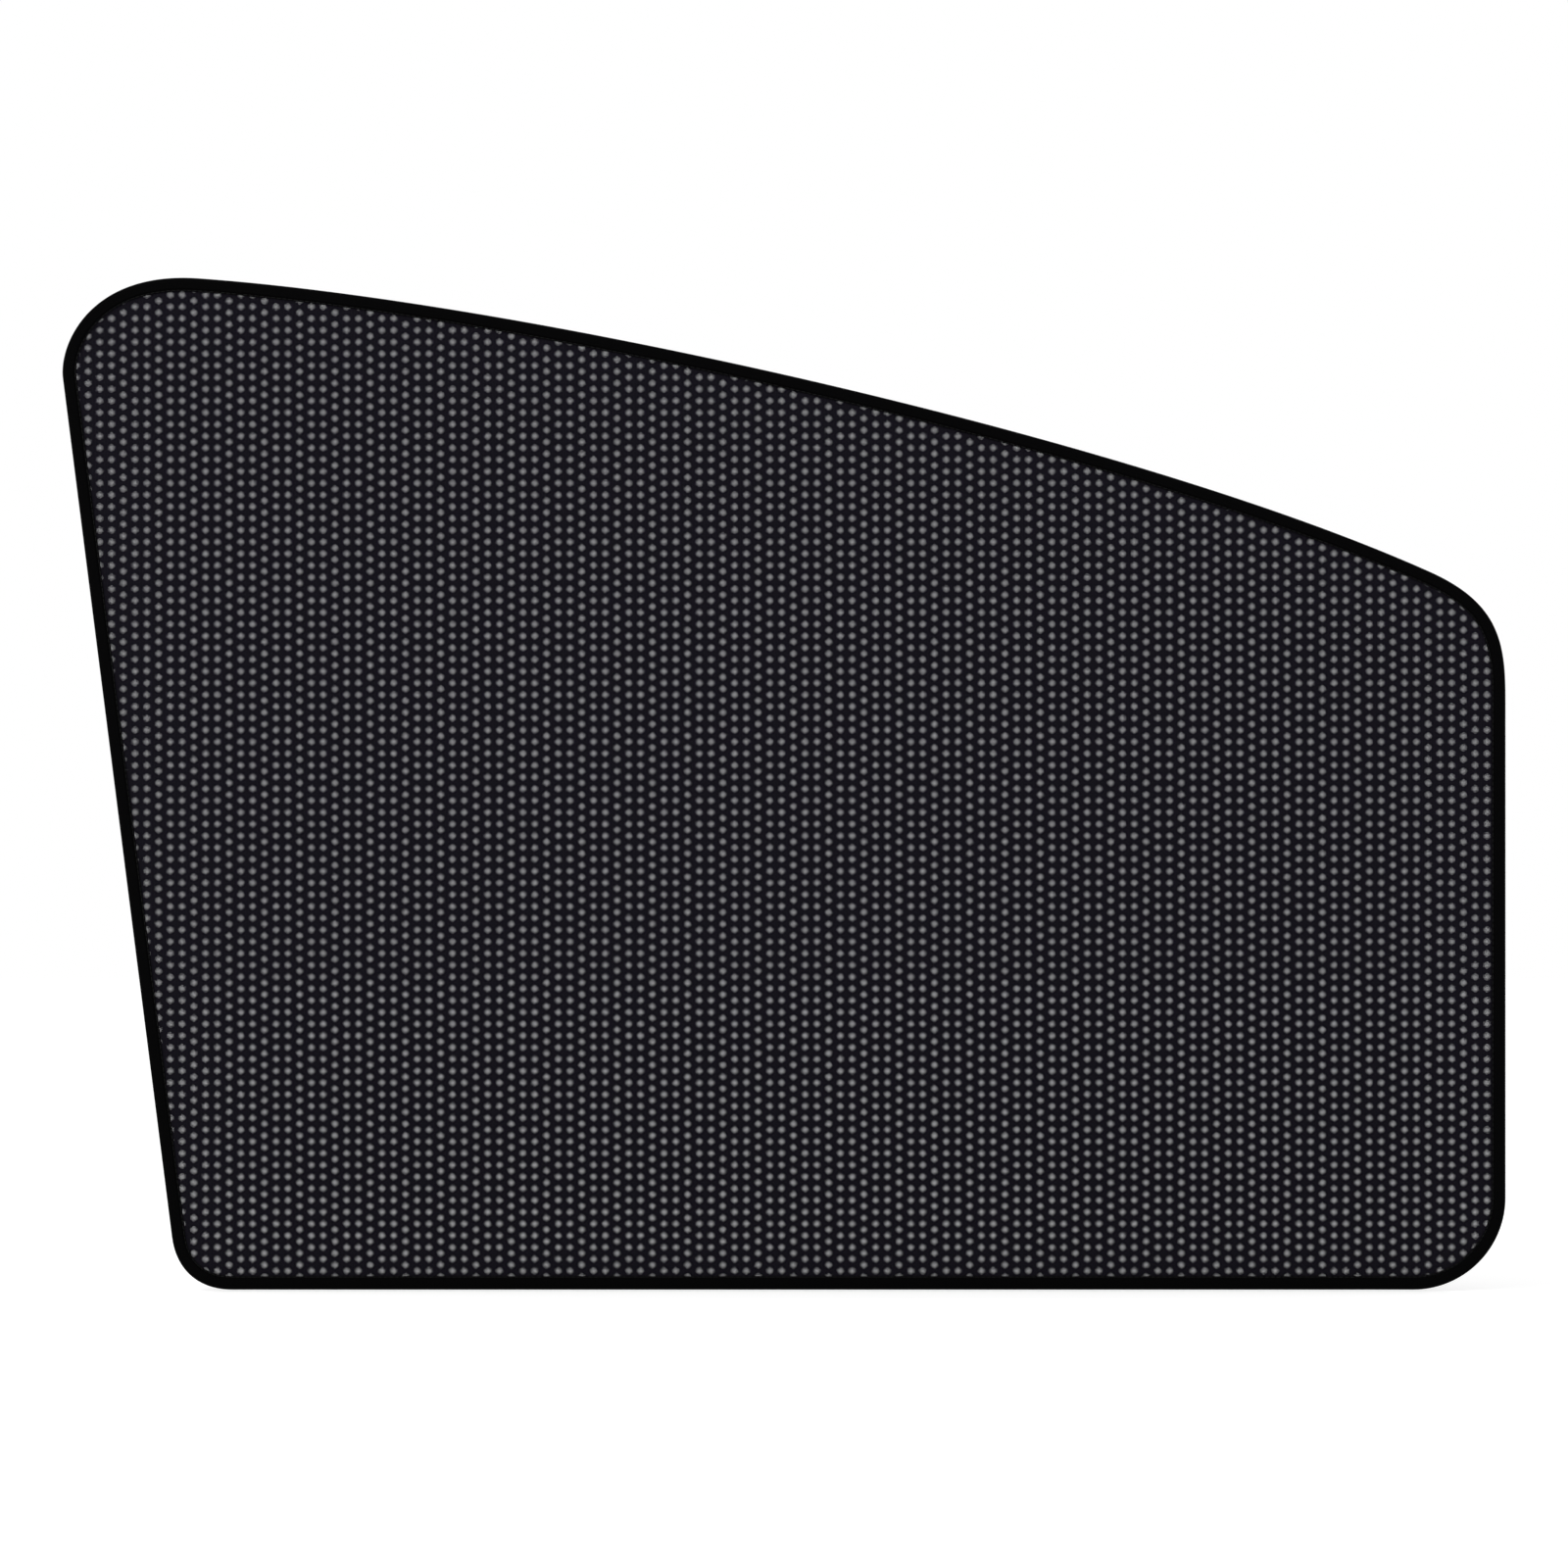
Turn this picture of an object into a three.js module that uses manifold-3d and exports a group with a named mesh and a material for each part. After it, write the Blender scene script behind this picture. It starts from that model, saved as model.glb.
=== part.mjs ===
// Side window sunshade for a car door: a taut black net in a wire frame with a
// folded fabric binding. Small magnets inside the binding hold it to the steel
// door frame around the glass.
//
// Millimetres. The shade stands upright in the XZ plane, Z up, with its lower
// edge on Z = 0. Its cabin side looks along -Y and its glass side along +Y.
// X = 0 is the middle of its width.

import * as THREE from 'three';
import { mergeVertices } from 'three/addons/utils/BufferGeometryUtils.js';
import Module from 'manifold-3d';

const wasm = await Module();
wasm.setup();

// Outline, measured from the corner point where the slanting front side would
// meet the line of the lower edge.
const lowerWidth = 677;
const frontLean = 0.127;
const roofFrontHeight = 516;
const roofFrontX = 10;
const roofFrontFall = 4;
const roofFrontReach = 165;
const roofRearHeight = 366;
const roofRearInset = 38;
const roofRearFall = 24.25;
const roofRearReach = 165;

// How far each rounded corner reaches along the two sides that it joins.
const topFrontSetback = 51;
const topRearSetback = 66;
const lowerRearSetback = 47;
const lowerFrontSetback = 27.3;

// Length of each corner's two handles, as parts of the way to its corner point.
const topFrontSideHandle = 0.30;
const topFrontRoofHandle = 0.73;
const topRearSideHandle = 0.58;
const topRearRoofHandle = 0.95;
const lowerRearHandle = 0.55;
const lowerFrontHandle = 0.63;

// Steps along each rounded corner and along the roof curve.
const cornerSteps = 9;
const roofSteps = 18;

// Frame wire and the crimped sleeve that joins its two ends.
const wireDiameter = 1.6;
const wireSides = 10;
const wireEndGap = 0.4;
const sleeveClearance = 0.15;
const sleeveWall = 0.3;
const sleeveLength = 16;
const sleeveSides = 16;

// Binding: one strip of woven tape folded round the wire, sewn to the net.
const tapeThickness = 0.55;
const foldClearance = 0.2;
const bindingWidth = 7;
const lipWidth = 0.95;
const shoulderWidth = 0.6;
const foldSteps = 8;

// Net: a knitted wall with a raised rib between every two columns of openings.
const columnPitch = 6;
const columnPhase = -1.2;
const ribThickness = 0.8;
const ribTopWidth = 2.6;
const valleyThickness = 0.4;
const valleyWidth = 1.8;
const openingWidth = 1;
const shortestOpening = 14;
const mostOpenings = 120;
const netClearance = 0.2;
const netTuck = 1.4;
const netBorder = 0.6;

// Bar magnets, sealed in the binding beside the wire.
const magnetLength = 20;
const magnetDepth = 2.2;
const magnetThickness = 2.4;
const magnetChamfer = 0.3;
const magnetClearance = 0.3;

// Sizes that follow from the ones above.
const sleeveBoreRadius = wireDiameter / 2 + sleeveClearance;
const sleeveOuterRadius = sleeveBoreRadius + sleeveWall;
const foldInnerRadius = Math.max(sleeveOuterRadius, magnetThickness / 2) + foldClearance;
const foldOuterRadius = foldInnerRadius + tapeThickness;
const wireInset = foldOuterRadius;
const lipInner = ribThickness / 2 + netClearance;
const lipOuter = lipInner + tapeThickness;
const lipInset = bindingWidth - lipWidth;
const shoulderInset = lipInset - shoulderWidth;
const netInset = bindingWidth - netTuck;
const openingInset = bindingWidth + netBorder;
const magnetInset = wireInset + wireDiameter / 2 + magnetClearance + magnetDepth / 2;

// The outline as five straight or curved sides and four rounded corners, drawn
// anticlockwise as seen from the cabin side, with X to the right and Z up.
function pointOnFront(height) {
  return new THREE.Vector2(-frontLean * height, height);
}

function crossing(a, u, b, v) {
  const across = u.x * v.y - u.y * v.x;
  const s = ((b.x - a.x) * v.y - (b.y - a.y) * v.x) / across;
  return a.clone().addScaledVector(u, s);
}

function cornerCurve(a, u, b, v, handleA, handleB) {
  const corner = crossing(a, u, b, v);
  const c1 = a.clone().lerp(corner, handleA);
  const c2 = b.clone().lerp(corner, handleB);
  return new THREE.CubicBezierCurve(a, c1, c2, b);
}

const right = new THREE.Vector2(1, 0);
const up = new THREE.Vector2(0, 1);
const frontUp = new THREE.Vector2(-frontLean, 1).normalize();
const fallFront = THREE.MathUtils.degToRad(roofFrontFall);
const fallRear = THREE.MathUtils.degToRad(roofRearFall);
const roofFrontWay = new THREE.Vector2(Math.cos(fallFront), -Math.sin(fallFront));
const roofRearWay = new THREE.Vector2(Math.cos(fallRear), -Math.sin(fallRear));

const frontFoot = new THREE.Vector2(0, 0).addScaledVector(frontUp, lowerFrontSetback);
const lowerStart = new THREE.Vector2(lowerFrontSetback, 0);
const lowerEnd = new THREE.Vector2(lowerWidth - lowerRearSetback, 0);
const rearFoot = new THREE.Vector2(lowerWidth, lowerRearSetback);
const rearTop = new THREE.Vector2(lowerWidth, roofRearHeight - topRearSetback);
const roofRear = new THREE.Vector2(lowerWidth - roofRearInset, roofRearHeight);
const roofFront = new THREE.Vector2(roofFrontX, roofFrontHeight);
const frontTop = pointOnFront(roofFrontHeight - topFrontSetback);

const lowerRearCorner = cornerCurve(
  lowerEnd, right, rearFoot, up, lowerRearHandle, lowerRearHandle);
const topRearCorner = cornerCurve(
  rearTop, up, roofRear, roofRearWay, topRearSideHandle, topRearRoofHandle);
const roofCurve = new THREE.CubicBezierCurve(
  roofRear,
  roofRear.clone().addScaledVector(roofRearWay, -roofRearReach),
  roofFront.clone().addScaledVector(roofFrontWay, roofFrontReach),
  roofFront);
const topFrontCorner = cornerCurve(
  roofFront, roofFrontWay, frontTop, frontUp, topFrontRoofHandle, topFrontSideHandle);
const lowerFrontCorner = cornerCurve(
  frontFoot, frontUp, lowerStart, right, lowerFrontHandle, lowerFrontHandle);

// The lower edge is cut in two at its middle, where the wire's ends meet.
const lowerMiddle = lowerStart.clone().lerp(lowerEnd, 0.5);
const sides = [
  [new THREE.LineCurve(lowerMiddle, lowerEnd), 1],
  [lowerRearCorner, cornerSteps],
  [new THREE.LineCurve(rearFoot, rearTop), 1],
  [topRearCorner, cornerSteps],
  [roofCurve, roofSteps],
  [topFrontCorner, cornerSteps],
  [new THREE.LineCurve(frontTop, frontFoot), 1],
  [lowerFrontCorner, cornerSteps],
  [new THREE.LineCurve(lowerStart, lowerMiddle), 1],
];

// Points along the outline, each with the direction into the shade.
const stations = [];
for (const [curve, steps] of sides) {
  for (let i = 0; i < steps; i += 1) {
    const point = curve.getPoint(i / steps);
    const way = curve.getTangent(i / steps);
    stations.push({ point, inward: new THREE.Vector2(-way.y, way.x) });
  }
}

const reach = new THREE.Box2().setFromPoints(stations.map((s) => s.point));
const middleX = (reach.min.x + reach.max.x) / 2;

// The outline moved inwards by a distance, as X and Z of the finished shade.
function insetOutline(inset) {
  return stations.map((s) => {
    const p = s.point.clone().addScaledVector(s.inward, inset);
    return new THREE.Vector2(p.x - middleX, p.y);
  });
}

// A closed ring or an open bar whose section, given as [inset, Y] pairs, follows
// the outline. An open bar has a flat cap on each end.
function alongOutline(section, closed, endTrim = 0) {
  const rings = stations.map((s) => ({ point: s.point.clone(), inward: s.inward }));
  if (!closed) {
    rings.push({ point: stations[0].point.clone(), inward: stations[0].inward });
    rings[0].point.x += endTrim;
    rings[rings.length - 1].point.x -= endTrim;
  }
  const positions = [];
  for (const ring of rings) {
    for (const [inset, y] of section) {
      const p = ring.point.clone().addScaledVector(ring.inward, inset);
      positions.push(p.x - middleX, y, p.y);
    }
  }
  const m = section.length;
  const index = [];
  const spans = closed ? rings.length : rings.length - 1;
  for (let i = 0; i < spans; i += 1) {
    const here = i * m;
    const next = ((i + 1) % rings.length) * m;
    for (let j = 0; j < m; j += 1) {
      const k = (j + 1) % m;
      index.push(here + j, next + j, next + k);
      index.push(here + j, next + k, here + k);
    }
  }
  if (!closed) {
    const flat = section.map(([inset, y]) => new THREE.Vector2(inset, y));
    const caps = THREE.ShapeUtils.triangulateShape(flat, []);
    const last = (rings.length - 1) * m;
    for (const [a, b, c] of caps) {
      index.push(a, b, c);
      index.push(last + a, last + c, last + b);
    }
  }
  const geometry = new THREE.BufferGeometry();
  geometry.setAttribute('position', new THREE.Float32BufferAttribute(positions, 3));
  geometry.setIndex(index);
  return outward(geometry);
}

// Turns a closed geometry's faces outward if its volume comes out negative.
function outward(geometry) {
  const p = geometry.getAttribute('position');
  const index = geometry.getIndex();
  const a = new THREE.Vector3();
  const b = new THREE.Vector3();
  const c = new THREE.Vector3();
  let volume = 0;
  for (let i = 0; i < index.count; i += 3) {
    a.fromBufferAttribute(p, index.getX(i));
    b.fromBufferAttribute(p, index.getX(i + 1));
    c.fromBufferAttribute(p, index.getX(i + 2));
    volume += a.dot(b.cross(c)) / 6;
  }
  if (volume < 0) {
    for (let i = 0; i < index.count; i += 3) {
      const second = index.getX(i + 1);
      index.setX(i + 1, index.getX(i + 2));
      index.setX(i + 2, second);
    }
  }
  return geometry;
}

// A slab cut to a shape drawn in X and Z, centred on Y = 0.
function slab(points, thickness) {
  const shape = new THREE.Shape(points);
  const geometry = new THREE.ExtrudeGeometry(shape, {
    depth: thickness,
    bevelEnabled: false,
    curveSegments: 1,
  });
  geometry.rotateX(Math.PI / 2);
  geometry.translate(0, thickness / 2, 0);
  return geometry;
}

function toSolid(geometry) {
  const bare = geometry.clone();
  bare.deleteAttribute('normal');
  bare.deleteAttribute('uv');
  const merged = mergeVertices(bare, 1e-4);
  return new wasm.Manifold(new wasm.Mesh({
    numProp: 3,
    vertProperties: new Float32Array(merged.getAttribute('position').array),
    triVerts: new Uint32Array(merged.getIndex().array),
  }));
}

function toGeometry(solid) {
  const mesh = solid.getMesh();
  const geometry = new THREE.BufferGeometry();
  const positions = [];
  for (let i = 0; i < mesh.numVert; i += 1) {
    positions.push(
      mesh.vertProperties[i * mesh.numProp],
      mesh.vertProperties[i * mesh.numProp + 1],
      mesh.vertProperties[i * mesh.numProp + 2]);
  }
  geometry.setAttribute('position', new THREE.Float32BufferAttribute(positions, 3));
  geometry.setIndex(Array.from(mesh.triVerts));
  return geometry;
}

// Binding section: out along the glass-side leaf, round the fold, and back
// along the cabin-side leaf. The pocket between them opens towards the net.
function bindingSection() {
  const outer = [[bindingWidth, lipOuter], [lipInset, lipOuter], [shoulderInset, foldOuterRadius]];
  const inner = [[bindingWidth, lipInner], [lipInset - tapeThickness / 4, lipInner]];
  inner.push([shoulderInset - tapeThickness / 4, foldInnerRadius]);
  const outerFold = [];
  const innerFold = [];
  for (let i = 0; i <= foldSteps; i += 1) {
    const angle = Math.PI / 2 + Math.PI * i / foldSteps;
    const c = Math.cos(angle);
    const s = Math.sin(angle);
    outerFold.push([wireInset + foldOuterRadius * c, foldOuterRadius * s]);
    innerFold.push([wireInset + foldInnerRadius * c, foldInnerRadius * s]);
  }
  const flip = (list) => list.map(([u, y]) => [u, -y]).reverse();
  return [
    ...outer, ...outerFold, ...flip(outer),
    ...flip(flip(inner)).map(([u, y]) => [u, -y]),
    ...innerFold.reverse(), ...inner.slice().reverse(),
  ];
}

// Net profile in X and Y: ribs on both faces, thin valleys between them. One
// valley lies over each column of openings.
function netProfile(first, last) {
  const front = [];
  const slope = (columnPitch - ribTopWidth - valleyWidth) / 2;
  for (let x = first; x <= last + 1e-6; x += columnPitch) {
    front.push([x - valleyWidth / 2, valleyThickness / 2]);
    front.push([x + valleyWidth / 2, valleyThickness / 2]);
    if (x + columnPitch <= last + 1e-6) {
      front.push([x + valleyWidth / 2 + slope, ribThickness / 2]);
      front.push([x + valleyWidth / 2 + slope + ribTopWidth, ribThickness / 2]);
    }
  }
  const back = front.map(([x, y]) => [x, -y]).reverse();
  return [...front, ...back].map(([x, y]) => new THREE.Vector2(x, y));
}

// The part of a vertical line that lies inside a closed outline.
function heightInside(outline, x) {
  const cuts = [];
  for (let i = 0; i < outline.length; i += 1) {
    const a = outline[i];
    const b = outline[(i + 1) % outline.length];
    if ((a.x - x) * (b.x - x) < 0) {
      cuts.push(a.y + (b.y - a.y) * (x - a.x) / (b.x - a.x));
    }
  }
  if (cuts.length < 2) return null;
  return [Math.min(...cuts), Math.max(...cuts)];
}

function netGeometry() {
  const edge = insetOutline(netInset);
  const clear = insetOutline(openingInset);
  const width = reach.max.x - reach.min.x;
  const columnsEachSide = Math.ceil(width / 2 / columnPitch) + 1;
  const first = columnPhase - columnsEachSide * columnPitch;
  const last = columnPhase + columnsEachSide * columnPitch;
  const profile = new THREE.Shape(netProfile(first, last));
  const ribbed = new THREE.ExtrudeGeometry(profile, {
    depth: roofFrontHeight + 40,
    bevelEnabled: false,
    curveSegments: 1,
  });
  ribbed.translate(0, 0, -20);
  const wall = toSolid(ribbed).intersect(toSolid(slab(edge, ribThickness * 4)));

  const columns = [];
  for (let x = first; x <= last; x += columnPitch) {
    const a = heightInside(clear, x - openingWidth / 2);
    const b = heightInside(clear, x + openingWidth / 2);
    if (a && b) {
      const low = Math.max(a[0], b[0]);
      const high = Math.min(a[1], b[1]);
      if (high - low >= shortestOpening) columns.push({ x, low, high });
    }
  }
  columns.sort((p, q) => (q.high - q.low) - (p.high - p.low));
  const cuts = columns.slice(0, mostOpenings).map(({ x, low, high }) => {
    const box = new THREE.BoxGeometry(openingWidth, ribThickness * 3, high - low);
    box.translate(x, 0, (low + high) / 2);
    return toSolid(box);
  });
  return toGeometry(wall.subtract(wasm.Manifold.union(cuts)));
}

function circleSection(centre, radius, sides) {
  const points = [];
  for (let i = 0; i < sides; i += 1) {
    const angle = 2 * Math.PI * i / sides;
    points.push([centre + radius * Math.cos(angle), radius * Math.sin(angle)]);
  }
  return points;
}

function sleeveGeometry() {
  const half = sleeveLength / 2;
  const profile = [
    new THREE.Vector2(sleeveBoreRadius, -half),
    new THREE.Vector2(sleeveOuterRadius, -half),
    new THREE.Vector2(sleeveOuterRadius, half),
    new THREE.Vector2(sleeveBoreRadius, half),
    new THREE.Vector2(sleeveBoreRadius, -half),
  ];
  const geometry = new THREE.LatheGeometry(profile, sleeveSides);
  geometry.rotateZ(Math.PI / 2);
  return geometry;
}

function magnetGeometry() {
  const d = magnetDepth / 2;
  const t = magnetThickness / 2;
  const c = magnetChamfer;
  const shape = new THREE.Shape([
    new THREE.Vector2(-d + c, -t),
    new THREE.Vector2(d - c, -t),
    new THREE.Vector2(d, -t + c),
    new THREE.Vector2(d, t - c),
    new THREE.Vector2(d - c, t),
    new THREE.Vector2(-d + c, t),
    new THREE.Vector2(-d, t - c),
    new THREE.Vector2(-d, -t + c),
  ]);
  const geometry = new THREE.ExtrudeGeometry(shape, {
    depth: magnetLength,
    bevelEnabled: false,
    curveSegments: 1,
  });
  geometry.translate(0, 0, -magnetLength / 2);
  return geometry;
}

// Materials
const tapeMaterial = new THREE.MeshStandardMaterial({
  color: 0x060606, roughness: 0.9, metalness: 0 });
const netMaterial = new THREE.MeshStandardMaterial({
  color: 0x17161b, roughness: 0.85, metalness: 0 });
const wireMaterial = new THREE.MeshStandardMaterial({
  color: 0x8d9093, roughness: 0.35, metalness: 1 });
const sleeveMaterial = new THREE.MeshStandardMaterial({
  color: 0xa3a5a6, roughness: 0.45, metalness: 1 });
const magnetMaterial = new THREE.MeshStandardMaterial({
  color: 0xb9bcbf, roughness: 0.25, metalness: 1 });

const sunshade = new THREE.Group();
sunshade.name = 'side_window_sunshade';

function addMesh(name, geometry, material) {
  const mesh = new THREE.Mesh(geometry, material.clone());
  mesh.name = name;
  sunshade.add(mesh);
  return mesh;
}

addMesh('edge_binding', alongOutline(bindingSection(), true), tapeMaterial);
addMesh('mesh_panel', netGeometry(), netMaterial);
addMesh(
  'frame_wire',
  alongOutline(circleSection(wireInset, wireDiameter / 2, wireSides), false, wireEndGap / 2),
  wireMaterial);

const sleeve = addMesh('wire_sleeve', sleeveGeometry(), sleeveMaterial);
sleeve.position.set(lowerMiddle.x - middleX, 0, wireInset);

// Four magnets lie along the lower edge and four along the roof line, with two on
// each upright side. Each is set on its side's curve at a part of the way along
// it, and turned to lie along it.
const magnetPlaces = [
  [new THREE.LineCurve(lowerStart, lowerEnd), [0.08, 0.36, 0.64, 0.92]],
  [new THREE.LineCurve(rearFoot, rearTop), [0.15, 0.85]],
  [roofCurve, [0.10, 0.36, 0.63, 0.90]],
  [new THREE.LineCurve(frontTop, frontFoot), [0.15, 0.85]],
];
let magnetNumber = 0;
for (const [curve, parts] of magnetPlaces) {
  for (const part of parts) {
    magnetNumber += 1;
    const point = curve.getPointAt(part);
    const way = curve.getTangentAt(part);
    const inward = new THREE.Vector2(-way.y, way.x);
    point.addScaledVector(inward, magnetInset);
    const name = 'magnet_' + String(magnetNumber).padStart(2, '0');
    const magnet = addMesh(name, magnetGeometry(), magnetMaterial);
    const along = new THREE.Vector3(way.x, 0, way.y);
    const across = new THREE.Vector3(inward.x, 0, inward.y);
    const through = new THREE.Vector3().crossVectors(along, across);
    magnet.setRotationFromMatrix(new THREE.Matrix4().makeBasis(across, through, along));
    magnet.position.set(point.x - middleX, 0, point.y);
  }
}

export default sunshade;
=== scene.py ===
# %% [markdown]
# # A side window sunshade for a car door
#
# The shade is a dark knitted net held flat in a ring of spring wire. A strip of
# woven tape is folded over the wire all the way round and sewn to the net. Small
# magnets sealed in that rim hold it to the steel frame around the door glass.
#
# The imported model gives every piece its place. Each cell below makes one piece
# or one finish over it, in metres, with Z up and the cabin side towards -Y.

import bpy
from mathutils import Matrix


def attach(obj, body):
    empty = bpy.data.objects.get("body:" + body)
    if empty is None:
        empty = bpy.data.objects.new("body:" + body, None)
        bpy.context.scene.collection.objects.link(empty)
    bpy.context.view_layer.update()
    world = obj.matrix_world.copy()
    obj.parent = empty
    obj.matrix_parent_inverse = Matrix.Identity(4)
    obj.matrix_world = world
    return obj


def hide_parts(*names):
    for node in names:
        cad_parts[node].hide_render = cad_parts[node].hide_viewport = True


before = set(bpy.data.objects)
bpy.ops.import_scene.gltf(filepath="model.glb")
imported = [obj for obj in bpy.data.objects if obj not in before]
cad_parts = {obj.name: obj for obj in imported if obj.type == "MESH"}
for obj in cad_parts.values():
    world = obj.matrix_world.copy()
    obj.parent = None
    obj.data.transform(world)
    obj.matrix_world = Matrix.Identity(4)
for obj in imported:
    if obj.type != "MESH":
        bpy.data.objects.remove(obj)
print("packed nodes", len(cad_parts))

import bpy
import numpy as np

MM = 0.001
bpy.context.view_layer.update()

# %% [markdown]
# ## The camera
#
# The shade is seen square on, with no visible perspective, so a long lens stands
# well back, level with the shade's middle. Its picture is 0.8 m wide at the shade.

# %% Camera
VIEW_DISTANCE = 5.0
VIEW_WIDTH = 0.8
SHADE_MIDDLE = 0.258
SENSOR_WIDTH = 36.0

camera_data = bpy.data.cameras.new("view")
camera_data.sensor_fit = "HORIZONTAL"
camera_data.sensor_width = SENSOR_WIDTH
camera_data.lens = SENSOR_WIDTH * VIEW_DISTANCE / VIEW_WIDTH
camera_data.clip_end = 50.0
camera = bpy.data.objects.new("view", camera_data)
camera.location = (0.0, -VIEW_DISTANCE, SHADE_MIDDLE)
camera.rotation_euler = (np.pi / 2, 0.0, 0.0)
bpy.context.scene.collection.objects.link(camera)
bpy.context.scene.camera = camera
print("lens", round(camera_data.lens, 1), "mm")

# %% [markdown]
# ## The outline
#
# Everything follows one closed outline: a straight lower edge, an upright rear
# edge, a gently curved roof line, a slanting front edge and four soft corners.
# A cubic curve needs only its two ends and two handles, so each corner is one
# such curve between the two sides that it joins.

# %% Curves of the outline
def cubic(a, b, c, d, steps):
    """Points and directions of a cubic curve: a blend of four points whose
    weights are (1-t)^3, 3(1-t)^2 t, 3(1-t) t^2 and t^3."""
    t = np.linspace(0.0, 1.0, steps, endpoint=False)[:, None]
    point = (1 - t) ** 3 * a + 3 * (1 - t) ** 2 * t * b
    point = point + 3 * (1 - t) * t ** 2 * c + t ** 3 * d
    way = (1 - t) ** 2 * (b - a) + 2 * (1 - t) * t * (c - b) + t ** 2 * (d - c)
    return point, way


def straight(a, b, steps):
    """Even points from a to b: a + t (b - a)."""
    t = np.linspace(0.0, 1.0, steps, endpoint=False)[:, None]
    return a + t * (b - a), np.repeat((b - a)[None], steps, axis=0)


def corner(a, u, b, v, share_a, share_b, steps):
    """A cubic from a to b. Its handles run along u and v towards the point
    where the two side lines cross, each for a share of the way there."""
    grid = np.array([[u[0], -v[0]], [u[1], -v[1]]])
    s = np.linalg.solve(grid, b - a)[0]
    cross = a + s * u
    return cubic(a, a + share_a * (cross - a), b + share_b * (cross - b), b, steps)


# %% Corner points and sides, in millimetres
LOWER_WIDTH = 677.0
FRONT_LEAN = 0.127
ROOF_FRONT = np.array([10.0, 516.0])
ROOF_REAR = np.array([639.0, 366.0])
ROOF_REACH = 165.0
TOP_FRONT_SETBACK = 51.0
TOP_REAR_SETBACK = 66.0
LOWER_REAR_SETBACK = 47.0
LOWER_FRONT_SETBACK = 27.3

right = np.array([1.0, 0.0])
up = np.array([0.0, 1.0])
front_up = np.array([-FRONT_LEAN, 1.0]) / np.hypot(FRONT_LEAN, 1.0)
fall_front = np.radians(4.0)
fall_rear = np.radians(24.25)
roof_front_way = np.array([np.cos(fall_front), -np.sin(fall_front)])
roof_rear_way = np.array([np.cos(fall_rear), -np.sin(fall_rear)])

lower_start = np.array([LOWER_FRONT_SETBACK, 0.0])
lower_end = np.array([LOWER_WIDTH - LOWER_REAR_SETBACK, 0.0])
rear_foot = np.array([LOWER_WIDTH, LOWER_REAR_SETBACK])
rear_top = np.array([LOWER_WIDTH, ROOF_REAR[1] - TOP_REAR_SETBACK])
front_top_height = ROOF_FRONT[1] - TOP_FRONT_SETBACK
front_top = np.array([-FRONT_LEAN * front_top_height, front_top_height])
front_foot = front_up * LOWER_FRONT_SETBACK

# %% [markdown]
# The eight sides follow each other round the rim, starting at the lower front.
# The last number of each is its count of stations: few on a straight side, many
# where the rim bends, so that no corner looks faceted. A corner's other two
# numbers are the shares that its handles take.

# %% Sides of the outline
sides = [
    straight(lower_start, lower_end, 30),
    corner(lower_end, right, rear_foot, up, 0.55, 0.55, 36),
    straight(rear_foot, rear_top, 12),
    corner(rear_top, up, ROOF_REAR, roof_rear_way, 0.58, 0.95, 56),
    cubic(ROOF_REAR, ROOF_REAR - ROOF_REACH * roof_rear_way,
          ROOF_FRONT + ROOF_REACH * roof_front_way, ROOF_FRONT, 120),
    corner(ROOF_FRONT, roof_front_way, front_top, front_up, 0.73, 0.30, 56),
    straight(front_top, front_foot, 20),
    corner(front_foot, front_up, lower_start, right, 0.63, 0.63, 36),
]
rim = np.concatenate([side[0] for side in sides])
way = np.concatenate([side[1] for side in sides])
way = way / np.linalg.norm(way, axis=1)[:, None]
inward = np.stack([-way[:, 1], way[:, 0]], axis=1)
rim[:, 0] -= (rim[:, 0].min() + rim[:, 0].max()) / 2

step_lengths = np.linalg.norm(np.roll(rim, -1, axis=0) - rim, axis=1)
RIM_LENGTH = step_lengths.sum()
rim_along = np.concatenate([[0.0], np.cumsum(step_lengths)])
print("stations", len(rim), "rim length", round(RIM_LENGTH, 1), "mm")


# %% Places on the outline
def inset_outline(inset):
    """The outline moved inwards: each point plus inset times its inward way."""
    return rim + inset * inward


def at_length(s):
    """Point and inward way at distances s along the rim, between stations."""
    closed_rim = np.vstack([rim, rim[:1]])
    closed_in = np.vstack([inward, inward[:1]])
    s = np.mod(s, RIM_LENGTH)
    point = np.stack([np.interp(s, rim_along, closed_rim[:, k]) for k in (0, 1)], -1)
    side = np.stack([np.interp(s, rim_along, closed_in[:, k]) for k in (0, 1)], -1)
    return point, side / np.linalg.norm(side, axis=-1, keepdims=True)


def span_inside(outline, values, axis):
    """Lowest and highest crossing of a convex outline with the lines where the
    given axis equals each value. Lines that miss it come back as NaN."""
    a = outline
    b = np.roll(outline, -1, axis=0)
    da = a[None, :, axis] - values[:, None]
    db = b[None, :, axis] - values[:, None]
    hit = da * db <= 0
    share = np.where(hit, da / np.where(da == db, 1.0, da - db), 0.0)
    other = 1 - axis
    place = a[None, :, other] + share * (b - a)[None, :, other]
    low = np.where(hit, place, np.inf).min(axis=1)
    high = np.where(hit, place, -np.inf).max(axis=1)
    missed = ~np.isfinite(low)
    low[missed] = np.nan
    high[missed] = np.nan
    return low, high


# %% [markdown]
# ## Making meshes from arrays
#
# Two helpers turn arrays into objects. One takes loose points and triangles. The
# other takes a grid of points that closes on itself both ways, which is what a
# section carried round a ring gives, and keeps the distance along and around it
# as a UV map for the cloth's weave.

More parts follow.
